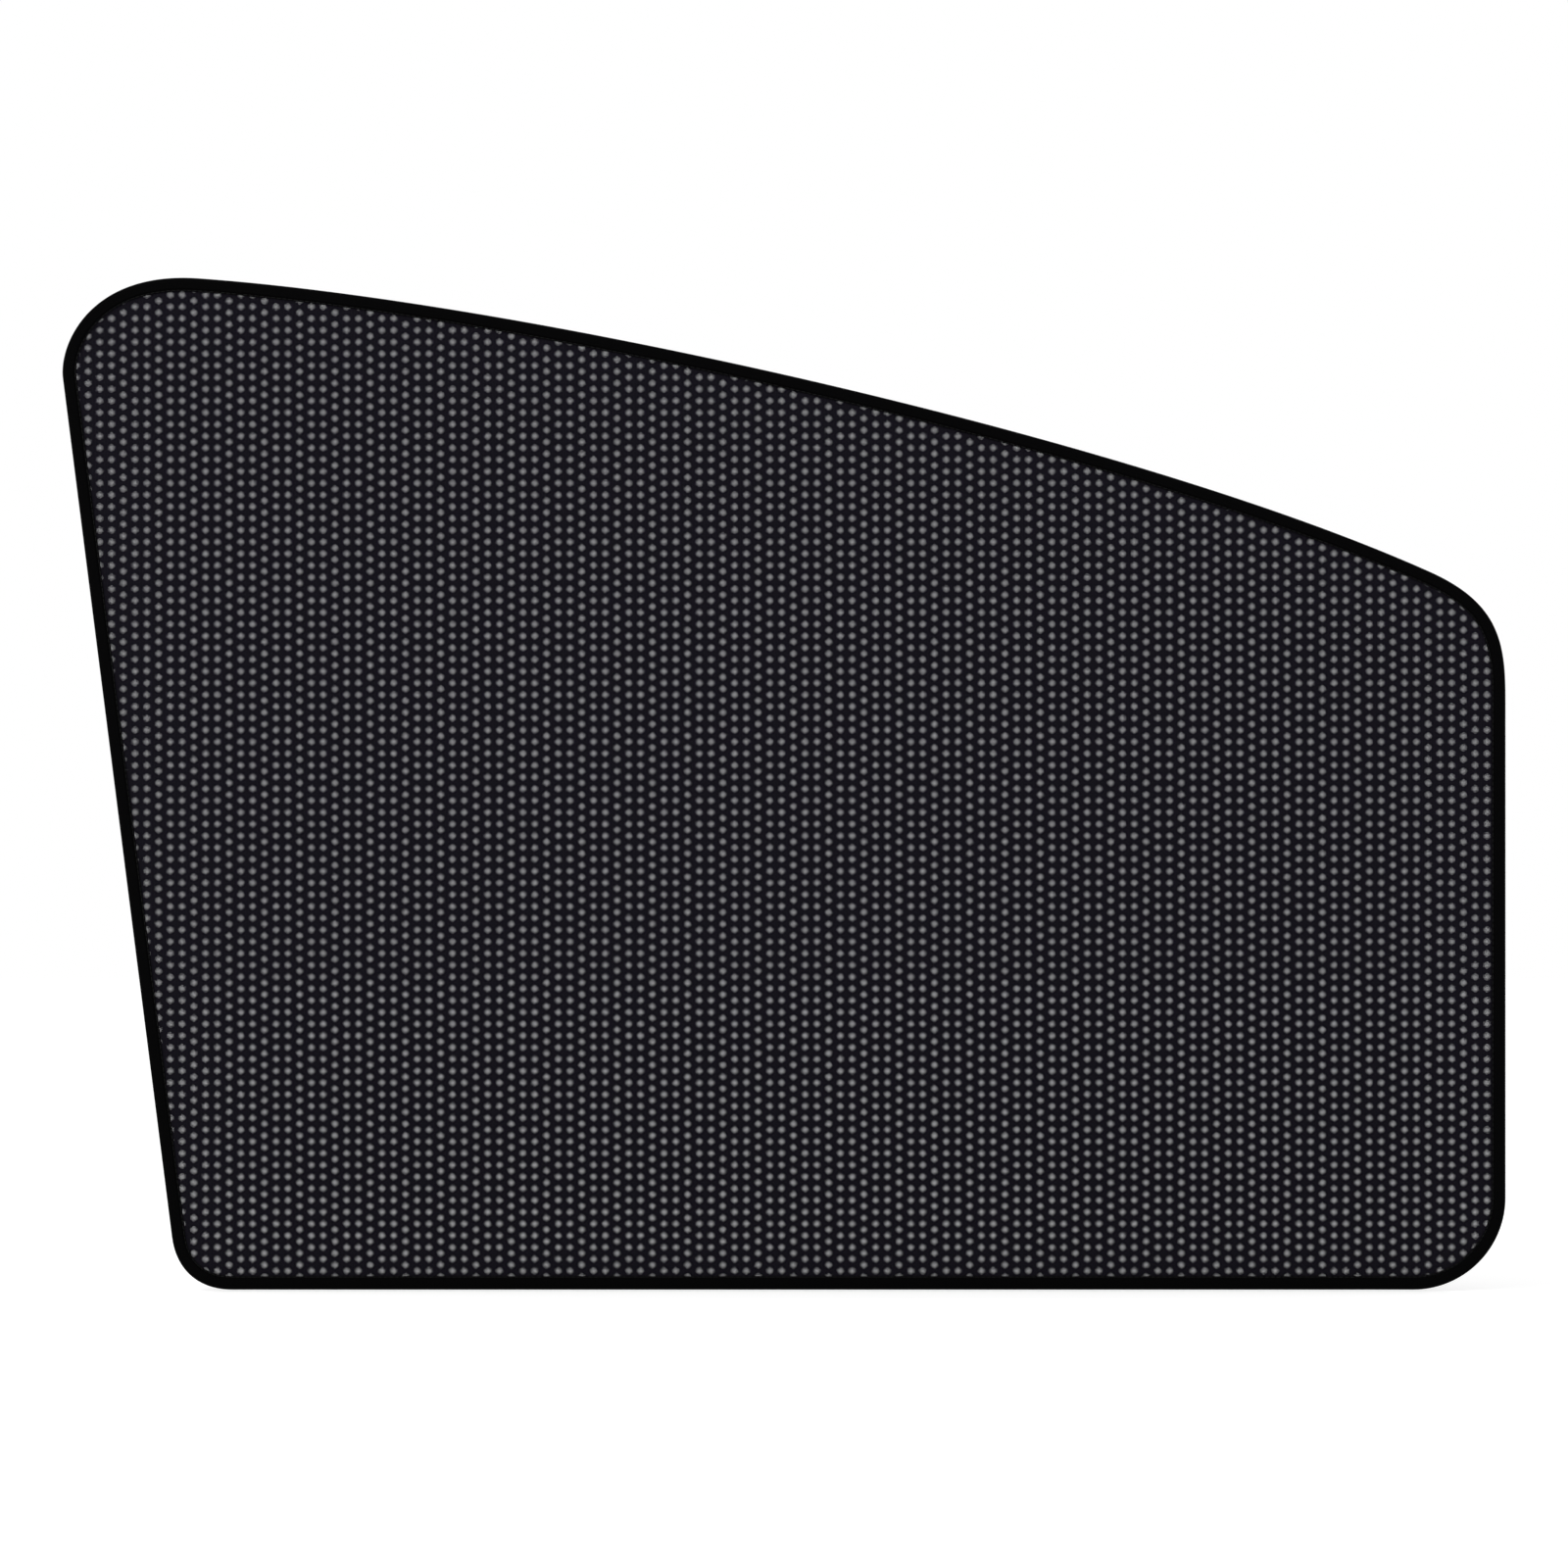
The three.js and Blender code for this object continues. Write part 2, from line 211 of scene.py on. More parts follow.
# %% Mesh helpers
def add_piece(name, points, faces, smooth_angle=None):
    """One object at the origin from points in millimetres and a face array."""
    mesh = bpy.data.meshes.new(name)
    points = np.ascontiguousarray(points, dtype=np.float64) * MM
    faces = np.ascontiguousarray(faces, dtype=np.int32)
    sides_each = faces.shape[1]
    mesh.vertices.add(len(points))
    mesh.vertices.foreach_set("co", points.ravel())
    mesh.loops.add(faces.size)
    mesh.loops.foreach_set("vertex_index", faces.ravel())
    mesh.polygons.add(len(faces))
    starts = np.arange(0, faces.size, sides_each, dtype=np.int32)
    mesh.polygons.foreach_set("loop_start", starts)
    mesh.update(calc_edges=True)
    mesh.validate()
    if smooth_angle is not None:
        mesh.shade_smooth()
        mesh.set_sharp_from_angle(angle=np.radians(smooth_angle))
    piece = bpy.data.objects.new(name, mesh)
    bpy.context.scene.collection.objects.link(piece)
    return piece


def ring_faces(rows, columns):
    """Quads of a grid whose rows and columns both close on themselves."""
    i = np.arange(rows)[:, None]
    j = np.arange(columns)[None, :]
    a = i * columns + j
    b = ((i + 1) % rows) * columns + j
    c = ((i + 1) % rows) * columns + (j + 1) % columns
    d = i * columns + (j + 1) % columns
    return np.stack([a, b, c, d], axis=-1).reshape(-1, 4)


def add_grid_uv(piece, name, along, around):
    """Writes each quad's corners as (distance along, distance around)."""
    rows = len(along) - 1
    columns = len(around) - 1
    u = np.broadcast_to(along[:, None], (rows + 1, columns + 1))
    v = np.broadcast_to(around[None, :], (rows + 1, columns + 1))
    quad_u = np.stack([u[:-1, :-1], u[1:, :-1], u[1:, 1:], u[:-1, 1:]], axis=-1)
    quad_v = np.stack([v[:-1, :-1], v[1:, :-1], v[1:, 1:], v[:-1, 1:]], axis=-1)
    layer = piece.data.uv_layers.new(name=name)
    flat = np.stack([quad_u, quad_v], axis=-1).reshape(-1)
    layer.data.foreach_set("uv", flat.astype(np.float32))


# %% [markdown]
# ## The net
#
# The net is knitted with a small opening in every stitch. The openings stand 6 mm
# apart in upright columns. Every third column is set half a step lower than the
# two beside it, which gives the net its three-column rhythm.
#
# Each opening is six-sided, as in a warp-knitted net. Its rim is thin, and the
# yarn swells to its full thickness between the openings. The whole net is worked
# out with arrays: first the thick points between the columns, then a ring of thin
# points round every opening, and then the triangles that join the two.

# %% Places of the openings
PITCH = 5.998
FIRST_COLUMN = -295.12
LONE_ROW = 426.52
OPENING_RADIUS = 2.0
YARN_HALF = 0.36
BRIDGE_HALF = 0.27
LONE_WIDEN = 0.4
NET_EDGE_INSET = 6.1
CELL_REACH = 1.05 * PITCH

columns = np.arange(-14, 114)
column_x = FIRST_COLUMN + PITCH * columns
lone = np.mod(columns, 3) == 2
row_z = LONE_ROW + np.where(lone, 0.0, PITCH / 2)
rows = np.arange(-73, 17)
print("columns", len(columns), "rows", len(rows))


# %% How deep a place lies inside
def inset_depth(outline, x, z):
    """How far each point lies inside a convex outline: the least distance to
    the lines of its sides."""
    d = np.roll(outline, -1, axis=0) - outline
    d = d / np.linalg.norm(d, axis=1)[:, None]
    across = (z[:, None] - outline[None, :, 1]) * d[None, :, 0]
    across = across - (x[:, None] - outline[None, :, 0]) * d[None, :, 1]
    return across.min(axis=1)


net_edge = inset_outline(NET_EDGE_INSET)
print("net edge", np.ptp(net_edge, axis=0).round(1), "mm wide and high")


# %% Thick points between the openings
def border_points():
    """Upright lines of thick points, one point to every half row. The first
    lines run between the columns, and stand wider round a lone column. The last
    ones run down the middle of each column, where only lone columns use them."""
    half_rows = np.arange(rows[0] * 2 - 1, rows[-1] * 2 + 3)
    kind_left = np.mod(np.append(columns[0] - 1, columns), 3)
    line_x = np.append(column_x[0] - PITCH, column_x) + PITCH / 2
    line_x = line_x + LONE_WIDEN * ((kind_left == 2) * 1.0 - (kind_left == 1) * 1.0)
    x = np.repeat(np.append(line_x, column_x), len(half_rows))
    z = np.tile(LONE_ROW + half_rows * PITCH / 2, len(line_x) + len(column_x))
    between = np.arange(len(x)) < len(line_x) * len(half_rows)
    return x, z, np.where(between, YARN_HALF, BRIDGE_HALF), len(half_rows)


border_x, border_z, border_half, line_count = border_points()
border_count = len(border_x)
print("thick points", border_count, "on each face")


# %% Thin rings round the openings
opening_x = np.repeat(column_x, len(rows))
opening_z = (row_z[:, None] + rows[None, :] * PITCH).reshape(-1)
ring_turn = np.radians(90.0 + 60.0 * np.arange(6))
ring_x = opening_x[:, None] + OPENING_RADIUS * np.cos(ring_turn)
ring_z = opening_z[:, None] + OPENING_RADIUS * np.sin(ring_turn)
rings = np.stack([ring_x, np.zeros_like(ring_x), ring_z], axis=-1).reshape(-1, 3)
net_points = np.concatenate([
    np.stack([border_x, -border_half, border_z], axis=-1),
    np.stack([border_x, border_half, border_z], axis=-1),
    rings])
print("openings in the whole grid", len(opening_x))


# %% Triangles from the thick points to the rings
def fans(corners, ring):
    """Triangles between a closed row of corners and a ring inside it. Each item
    is (corner, first ring point, last ring point): the corner's own fan over the
    ring, followed by the triangle that reaches on to the next corner."""
    triangles = []
    for k, (point, first, last) in enumerate(corners):
        for step in range(first, last):
            triangles.append((point, ring[step % 6], ring[(step + 1) % 6]))
        following = corners[(k + 1) % len(corners)][0]
        triangles.append((point, ring[last % 6], following))
    return np.concatenate([np.stack(t, -1) for t in triangles])


def cell_faces(c, r, kind, offset):
    """Faces of all cells of one kind, at columns c and rows r. Kinds 0 and 1 are
    the left and right columns of a pair, whose cells reach in between those of
    the lone column, kind 2, which are diamonds."""
    left = c * line_count + 2 * r + 1 + (kind != 2) + offset
    right = left + line_count
    own = left + (len(columns) + 1) * line_count
    ring = [2 * border_count + (c * len(rows) + r) * 6 + k for k in range(6)]
    if kind == 2:
        diamond = [(own + 1, -1, 1), (left, 1, 2), (own - 1, 2, 4), (right, 4, 5)]
        return fans(diamond, ring)
    if kind == 0:
        corners = [(left + 1, 0, 1), (own - line_count, 1, 2), (left - 1, 2, 3),
                   (right - 1, 3, 4), (right + 1, 4, 6)]
    else:
        corners = [(left + 1, 0, 2), (left - 1, 2, 3), (right - 1, 3, 4),
                   (own + line_count, 4, 5), (right + 1, 5, 6)]
    return fans(corners, ring)


def net_faces(offset):
    """Faces on one side of the net, for the openings in or near the shade."""
    c = np.repeat(np.arange(len(columns)), len(rows))
    r = np.tile(np.arange(len(rows)), len(columns))
    near = inset_depth(net_edge, opening_x, opening_z) > -CELL_REACH
    near &= (c > 0) & (c < len(columns) - 1)
    kinds = np.mod(columns[c], 3)
    return np.concatenate([
        cell_faces(c[near & (kinds == k)], r[near & (kinds == k)], k, offset)
        for k in range(3)])


front_faces = net_faces(0)[:, ::-1]
back_faces = net_faces(border_count)
print("triangles before the net is cut", len(front_faces) * 2)

# %% [markdown]
# The grid of cells is larger than the shade, so cells that lie wholly outside
# are dropped first. The loose edges left round the grid are joined from face to
# face, which closes the net, and a Boolean then trims it to the line where it
# tucks under the binding. Openings on that line are cut through, as in cloth.

# %% Close the net
def close_sheet(points, front_faces, back_faces, shift):
    """Adds a wall wherever a front edge between two full-thickness points has
    only one face, then drops the points that nothing uses."""
    edges = np.concatenate([front_faces[:, [0, 1]], front_faces[:, [1, 2]],
                            front_faces[:, [2, 0]]])
    key = np.sort(edges, axis=1)
    code = key[:, 0].astype(np.int64) * len(points) + key[:, 1]
    _, first, count = np.unique(code, return_index=True, return_counts=True)
    loose = edges[first[count == 1]]
    loose = loose[(loose < shift).all(axis=1)]
    a, b = loose[:, 0], loose[:, 1]
    walls = np.concatenate([np.stack([b, a, a + shift], -1),
                            np.stack([b, a + shift, b + shift], -1)])
    faces = np.concatenate([front_faces, back_faces, walls])
    used, compact = np.unique(faces.ravel(), return_inverse=True)
    return points[used], compact.reshape(-1, 3)


def signed_volume(points, faces):
    """Sum of the tetrahedra from the origin to each triangle."""
    a, b, c = (points[faces[:, k]] for k in range(3))
    return np.einsum("ij,ij->i", a, np.cross(b, c)).sum() / 6


def triangle_count(mesh):
    """How many triangles a mesh is drawn with."""
    mesh.calc_loop_triangles()
    return len(mesh.loop_triangles)


points, faces = close_sheet(net_points, front_faces, back_faces, border_count)
print("grid closed: triangles", len(faces), "volume cm3",
      round(signed_volume(points, faces) / 1000, 2))


# %% A block with the net's outline
def outline_block(outline, half_depth):
    """A closed block: the outline drawn at two depths, with a side between each
    two of its points."""
    n = len(outline)
    corners = np.concatenate([
        np.column_stack([outline[:, 0], np.full(n, y), outline[:, 1]])
        for y in (-half_depth, half_depth)])
    faces = [list(range(n)), list(range(2 * n - 1, n - 1, -1))]
    for i in range(n):
        j = (i + 1) % n
        faces.append([j, i, i + n, j + n])
    mesh = bpy.data.meshes.new("net_trim")
    mesh.from_pydata((corners * MM).tolist(), [], faces)
    block = bpy.data.objects.new("net_trim", mesh)
    bpy.context.scene.collection.objects.link(block)
    return block


# %% Cut the net
TRIM_HALF_DEPTH = 2.0
NET_SMOOTH_ANGLE = 62.0

blank = add_piece("net_blank", points, faces)
block = outline_block(net_edge, TRIM_HALF_DEPTH)
trim = blank.modifiers.new("trim", "BOOLEAN")
trim.operation = "INTERSECT"
trim.solver = "MANIFOLD"
trim.object = block
graph = bpy.context.evaluated_depsgraph_get()
net_mesh = bpy.data.meshes.new_from_object(blank.evaluated_get(graph))
net_mesh.name = "net"
bpy.data.objects.remove(blank)
bpy.data.objects.remove(block)

net = bpy.data.objects.new("net", net_mesh)
bpy.context.scene.collection.objects.link(net)
net_mesh.shade_smooth()
net_mesh.set_sharp_from_angle(angle=np.radians(NET_SMOOTH_ANGLE))
print("net triangles", triangle_count(net_mesh))

# %% [markdown]
# ## Filler threads in the openings
#
# Against a white ground the openings look a soft grey, not white. About a fifth of
# the light comes through at the middle of each one, and less towards its rim.
# Fine filler threads cross every opening both ways and lie closer together
# towards the rims. Each is a flat closed strip that runs from edge to edge.
#
# The gap left between two threads shrinks with its distance d from the nearest
# row of openings as exp(-d^2 / (2 w^2)), and each thread fills the space between
# two gaps. Level threads cross both kinds of column, so their gaps repeat twice
# in every step.

# %% Graded gaps
THREAD_STEP = PITCH / 14
WIDEST_GAP = 0.485 * THREAD_STEP
LEAST_GAP = 0.02


def thread_edges(first_row, period, spread, low, high):
    """Lower and upper edges of the threads that lie between graded gaps."""
    k = np.arange(np.floor((low - first_row) / THREAD_STEP),
                  np.ceil((high - first_row) / THREAD_STEP) + 1)
    centre = first_row + k * THREAD_STEP
    d = np.mod(k * THREAD_STEP + period / 2, period) - period / 2
    gap = WIDEST_GAP * np.exp(-d ** 2 / (2 * spread ** 2))
    open_here = gap > LEAST_GAP
    centre = centre[open_here]
    gap = gap[open_here]
    return centre[:-1] + gap[:-1] / 2, centre[1:] - gap[1:] / 2


# %% Flat bars
def strips(start, end, low, high, axis, y_low, y_high):
    """A flat bar for each thread, as eight corner points and twelve triangles.
    It spans start to end across its width and low to high along its length.
    Bars of axis 0 stand upright, and bars of axis 1 lie level."""
    n = len(start)
    wide = np.array([0, 1, 1, 0, 0, 1, 1, 0])
    far = np.array([0, 0, 0, 0, 1, 1, 1, 1])
    deep = np.array([y_low, y_low, y_high, y_high, y_low, y_low, y_high, y_high])
    across = start[:, None] + (end - start)[:, None] * wide[None, :]
    along = low[:, None] + (high - low)[:, None] * far[None, :]
    deep = np.broadcast_to(deep[None, :], across.shape)
    order = [across, deep, along] if axis == 0 else [along, deep, across]
    xyz = np.stack(order, axis=-1)
    box = np.array([[0, 2, 1], [0, 3, 2], [4, 5, 6], [4, 6, 7], [0, 1, 5], [0, 5, 4],
                    [2, 3, 7], [2, 7, 6], [1, 2, 6], [1, 6, 5], [3, 0, 4], [3, 4, 7]])
    if axis == 1:
        box = box[:, ::-1]
    faces = (np.arange(n)[:, None, None] * 8 + box[None]).reshape(-1, 3)
    return xyz.reshape(-1, 3), faces


# %% Both layers of threads
THREAD_THICK = 0.045
LAYER_OFFSET = 0.004
UPRIGHT_SPREAD = 1.05
LEVEL_SPREAD = 0.86
THREAD_MARGIN = 0.2
SHORTEST_THREAD = 3.0


def thread_layer(first_row, period, spread, axis, y_low, y_high):
    """All threads of one direction, each cut where it meets the net's edge."""
    edge = inset_outline(NET_EDGE_INSET + THREAD_MARGIN)
    start, end = thread_edges(first_row, period, spread,
                              edge[:, axis].min(), edge[:, axis].max())
    low_a, high_a = span_inside(edge, start, axis)
    low_b, high_b = span_inside(edge, end, axis)
    low = np.maximum(low_a, low_b)
    high = np.minimum(high_a, high_b)
    keep = np.isfinite(low) & np.isfinite(high) & (high - low > SHORTEST_THREAD)
    return strips(start[keep], end[keep], low[keep], high[keep], axis, y_low, y_high)


up_points, up_faces = thread_layer(
    FIRST_COLUMN, PITCH, UPRIGHT_SPREAD, 0, -THREAD_THICK, -LAYER_OFFSET)
level_points, level_faces = thread_layer(
    LONE_ROW, PITCH / 2, LEVEL_SPREAD, 1, LAYER_OFFSET, THREAD_THICK)
threads = add_piece(
    "filler_threads",
    np.concatenate([up_points, level_points]),
    np.concatenate([up_faces, level_faces + len(up_points)]))
print("filler threads", len(up_points) // 8, "upright and", len(level_points) // 8,
      "level, volume cm3", round(signed_volume(up_points, up_faces) / 1000, 3),
      round(signed_volume(level_points, level_faces) / 1000, 3))

# %% [markdown]
# ## The binding
#
# One strip of tape is folded round the wire. Its section is a profile: along the
# outside of one leaf, round the fold, back along the other leaf, and the same on
# the inside. Carrying that profile along the rim makes the whole band, and both
# leaves dip towards the net where they are sewn to it.

# %% Sizes and halves of the profile
TAPE = 0.55
FOLD_OUTER = 2.0
FOLD_INNER = FOLD_OUTER - TAPE
BAND_WIDTH = 7.0
LIP_START = 6.05
SHOULDER_START = 5.35
LIP_OUTER = 1.13
LIP_INNER = 0.58
LIP_ROUND = 0.22
LIP_TAPER = 0.06
BEND_LEAD = 0.12
SEAM_INSET = 6.45


def smooth_step(t):
    """3 t^2 - 2 t^3, from 0 to 1 with level ends."""
    t = np.clip(t, 0.0, 1.0)
    return t * t * (3.0 - 2.0 * t)


def leaf(inset, high, low):
    """Half thickness over the shoulder: high until it starts, low on the lip."""
    share = (inset - SHOULDER_START) / (LIP_START - SHOULDER_START)
    return high + (low - high) * smooth_step(share)


def outside_leaf():
    """Outside of one leaf, from the lip's rounded corner to the fold. The tape
    sinks a little along the seam. Points 4.2 and 3.1 mm in divide its flat part."""
    turn = np.radians(np.linspace(0, 90, 5))
    corner_u = BAND_WIDTH - LIP_ROUND + LIP_ROUND * np.cos(turn)
    corner_y = LIP_OUTER - LIP_ROUND + LIP_ROUND * np.sin(turn)
    seam_u = SEAM_INSET + np.array([0.17, 0.0, -0.20])
    seam_y = LIP_OUTER - np.array([0.03, 0.07, 0.03])
    flat_u = np.append(np.linspace(LIP_START, SHOULDER_START, 9), [4.2, 3.1])
    flat_y = leaf(flat_u, FOLD_OUTER, LIP_OUTER)
    return (np.concatenate([corner_u, seam_u, flat_u]),
            np.concatenate([corner_y, seam_y, flat_y]))


def inside_leaf():
    """Inside of one leaf, from the lip to the pocket. Its shoulder starts a
    little sooner, so the tape keeps its thickness round the bend."""
    bend_u = np.linspace(LIP_START, SHOULDER_START, 7)
    bend_y = leaf(bend_u, FOLD_INNER, LIP_INNER)
    return (np.concatenate([[BAND_WIDTH - LIP_TAPER, LIP_START], bend_u - BEND_LEAD]),
            np.concatenate([[LIP_INNER, LIP_INNER], bend_y]))


def arc(radius, start, end, count):
    """Part of a circle about the wire: (radius cos, radius sin) of each angle."""
    turn = np.radians(np.linspace(start, end, count))
    return FOLD_OUTER + radius * np.cos(turn), radius * np.sin(turn)


# %% The closed profile
out_u, out_y = outside_leaf()
in_u, in_y = inside_leaf()
fold_u, fold_y = arc(FOLD_OUTER, 90, 270, 25)
pocket_u, pocket_y = arc(FOLD_INNER, 270, 90, 17)
band_u = np.concatenate([out_u, fold_u, out_u[::-1], in_u, pocket_u, in_u[::-1]])
band_y = np.concatenate([out_y, fold_y, -out_y[::-1], -in_y, pocket_y, in_y[::-1]])
print("points in the profile", len(band_u))

# %% Carry the profile round the rim
band_points = np.stack([
    rim[:, None, 0] + inward[:, None, 0] * band_u[None, :],
    np.broadcast_to(band_y[None, :], (len(rim), len(band_u))),
    rim[:, None, 1] + inward[:, None, 1] * band_u[None, :],
], axis=-1).reshape(-1, 3)
band_faces = ring_faces(len(rim), len(band_u))
half = np.concatenate([band_faces[:, [0, 1, 2]], band_faces[:, [0, 2, 3]]])
band_volume = signed_volume(band_points, half)
binding = add_piece("binding", band_points, band_faces, smooth_angle=50)
around = np.concatenate([[0.0], np.cumsum(np.hypot(
    np.roll(band_u, -1) - band_u, np.roll(band_y, -1) - band_y))])
add_grid_uv(binding, "tape", rim_along * MM, around * MM)
print("binding volume cm3", round(band_volume / 1000, 2), "quads", len(band_faces))

# %% [markdown]
# ## The seam
#
# A lockstitch holds both leaves to the net. From outside it is a row of short
# thread lengths, each one rising from one needle hole and diving into the next.
# One stitch is a small bent bar, worked out once along its own length and then
# carried to every stitch's place on the rim, on both faces.

# %% One stitch
STITCH_STEP = 2.9
STITCH_LENGTH = 2.55
STITCH_RADIUS = 0.17
STITCH_RISE = 0.20
STITCH_DIP = 0.17

# t runs from -1 to 1 along the stitch. The height follows 1 - t^4 and the
# thickness sqrt(1 - t^6), so that both ends close.
stitch_t = np.array([-1.0, -0.86, -0.4, 0.4, 0.86, 1.0])
stitch_thick = STITCH_RADIUS * np.sqrt(np.clip(1 - stitch_t ** 6, 0.02, 1))
stitch_height = LIP_OUTER - STITCH_DIP + STITCH_RISE * (1 - stitch_t ** 4)


def stitch_faces():
    """Triangles of one stitch: quads between its six rings of six points, and a
    fan over each end."""
    ring = np.arange(6)
    following = (ring + 1) % 6
    quads = np.concatenate([
        np.stack([k * 6 + ring, (k + 1) * 6 + ring,
                  (k + 1) * 6 + following, k * 6 + following], -1)
        for k in range(5)])
    cap = np.stack([np.zeros(4, int), ring[1:5], ring[2:6]], -1)
    return np.concatenate([quads[:, [0, 1, 2]], quads[:, [0, 2, 3]],
                           cap, cap[:, ::-1] + 30])


print("triangles in a stitch", len(stitch_faces()))


# %% The stitches of one face
def seam_arrays(side):
    """All stitches of one face. Each point starts from its place on the rim. It
    moves inwards by the seam's inset plus the radius times the cosine of its
    angle, and off the tape by the height plus the radius times the sine."""
    count = int(round(RIM_LENGTH / STITCH_STEP))
    centre = RIM_LENGTH * np.arange(count) / count
    spot, side_way = at_length(centre[:, None] + stitch_t * STITCH_LENGTH / 2)
    angle = 2 * np.pi * np.arange(6) / 6
    inset = SEAM_INSET + stitch_thick[None, :, None] * np.cos(angle)
    y = stitch_height[None, :, None] + stitch_thick[None, :, None] * np.sin(angle)
    x = spot[..., 0][:, :, None] + side_way[..., 0][:, :, None] * inset
    z = spot[..., 1][:, :, None] + side_way[..., 1][:, :, None] * inset
    points = np.stack([x, np.broadcast_to(y, x.shape) * side, z], axis=-1)
    tris = stitch_faces()
    if side < 0:
        tris = tris[:, ::-1]
    faces = (np.arange(count)[:, None, None] * 36 + tris[None]).reshape(-1, 3)
    return points.reshape(-1, 3), faces


# %% Both rows of the seam
seam_front = seam_arrays(-1.0)
seam_back = seam_arrays(1.0)
for label, (p, f) in (("cabin side", seam_front), ("glass side", seam_back)):
    print("seam", label, "stitches", len(p) // 36, "volume", round(signed_volume(p, f), 2))
seam = add_piece(
    "seam_thread",
    np.concatenate([seam_front[0], seam_back[0]]),
    np.concatenate([seam_front[1], seam_back[1] + len(seam_front[0])]),
    smooth_angle=60)

# %% [markdown]
# ## Finishes
#
# The tape and the net are near black and matt, so almost all of their look is in
# fine relief. Every pattern is worked out from the object's own coordinates or,
# on the tape, from the distance along and around it.

# %% Material helpers
def new_material(name, colour, roughness, metallic=0.0, specular=0.3):
    """A plain Principled surface and its node tree, ready for a pattern."""
    material = bpy.data.materials.new(name)
    material.use_nodes = True
    tree = material.node_tree
    shader = tree.nodes["Principled BSDF"]
    shader.inputs["Base Color"].default_value = (*colour, 1.0)
    shader.inputs["Roughness"].default_value = roughness
    shader.inputs["Metallic"].default_value = metallic
    shader.inputs["Specular IOR Level"].default_value = specular
    return material, tree, shader


# %% Pattern helpers
def object_place(tree):
    """Each point's place in the object's own coordinates, in metres."""
    return tree.nodes.new("ShaderNodeTexCoord").outputs["Object"]


def bands(tree, vector, axis, spacing):
    """Smooth bands across one axis, this many metres apart. The wave texture has
    a band every pi / 10 m at a scale of 1, so the scale is pi / (10 spacing)."""
    node = tree.nodes.new("ShaderNodeTexWave")
    node.wave_type = "BANDS"
    node.bands_direction = axis
    node.inputs["Scale"].default_value = np.pi / (10 * spacing)
    node.inputs["Distortion"].default_value = 0.0
    tree.links.new(vector, node.inputs["Vector"])
    return node.outputs["Fac"]


def noise(tree, vector, scale, detail=2.0):
    """Soft random values about 0.5, with about this many grains to a metre."""
    node = tree.nodes.new("ShaderNodeTexNoise")
    node.inputs["Scale"].default_value = scale
    node.inputs["Detail"].default_value = detail
    tree.links.new(vector, node.inputs["Vector"])
    return node.outputs["Fac"]


def worked(tree, operation, first, second):
    """Math of a value with another value or with a plain number."""
    node = tree.nodes.new("ShaderNodeMath")
    node.operation = operation
    tree.links.new(first, node.inputs[0])
    if isinstance(second, float):
        node.inputs[1].default_value = second
    else:
        tree.links.new(second, node.inputs[1])
    return node.outputs[0]


def relief(tree, shader, height, distance, strength):
    """Raises the surface by height times distance, in metres, in shading only."""
    node = tree.nodes.new("ShaderNodeBump")
    node.inputs["Distance"].default_value = distance
    node.inputs["Strength"].default_value = strength
    tree.links.new(height, node.inputs["Height"])
    tree.links.new(node.outputs["Normal"], shader.inputs["Normal"])


def tinted(tree, shader, value, dark, light):
    """Base colour between two colours, by a value from 0 to 1."""
    mix = tree.nodes.new("ShaderNodeMix")
    mix.data_type = "RGBA"
    mix.inputs["A"].default_value = (*dark, 1.0)
    mix.inputs["B"].default_value = (*light, 1.0)
    tree.links.new(value, mix.inputs["Factor"])
    tree.links.new(mix.outputs["Result"], shader.inputs["Base Color"])


# %% [markdown]
# The net's yarn is matt polyester. Its loops are far too small for triangles, so
# two crossed sets of bands, eight loops and ten courses to a stitch, give the
# relief and lift the tone a little, and a noise breaks them up like fuzz.

# %% Net yarn
LOOP_SPACING = PITCH * MM / 8
COURSE_SPACING = PITCH * MM / 10

net_yarn, tree, shader = new_material(
    "net_yarn", (0.0072, 0.0064, 0.0096), 0.9, specular=0.03)
place = object_place(tree)
loops = bands(tree, place, "X", LOOP_SPACING)
courses = bands(tree, place, "Z", COURSE_SPACING)
fuzz = noise(tree, place, 2200.0, detail=3.0)
knit = worked(tree, "MULTIPLY", loops, courses)
relief(tree, shader, worked(tree, "ADD", knit, fuzz), 0.00015, 1.0)
tone = worked(tree, "MULTIPLY", worked(tree, "MULTIPLY", knit, fuzz), 1.8)
tinted(tree, shader, tone, (0.0060, 0.0054, 0.0080), (0.0175, 0.0158, 0.0232))
print("net yarn: loops every", round(LOOP_SPACING / MM, 2), "mm and courses every",
      round(COURSE_SPACING / MM, 2), "mm")

# %% [markdown]
# The filler threads are a little lighter than the yarn. They are too fine to show
# a pattern of their own, so one plain matt colour is enough.

# %% Filler thread
thread_fibre, tree, shader = new_material(
    "filler_fibre", (0.0125, 0.0102, 0.0180), 0.8, specular=0.04)
print("filler thread finish", thread_fibre.name)

# %% [markdown]
# The tape is a close plain weave in black. Its ribs and wefts have to follow the
# strip round every corner, so their bands read the tape's own UV map, which holds
# metres along and around it. The fuzz needs no direction and reads the object.

# %% Binding tape
RIB_SPACING = 0.0007
WEFT_SPACING = 0.0005

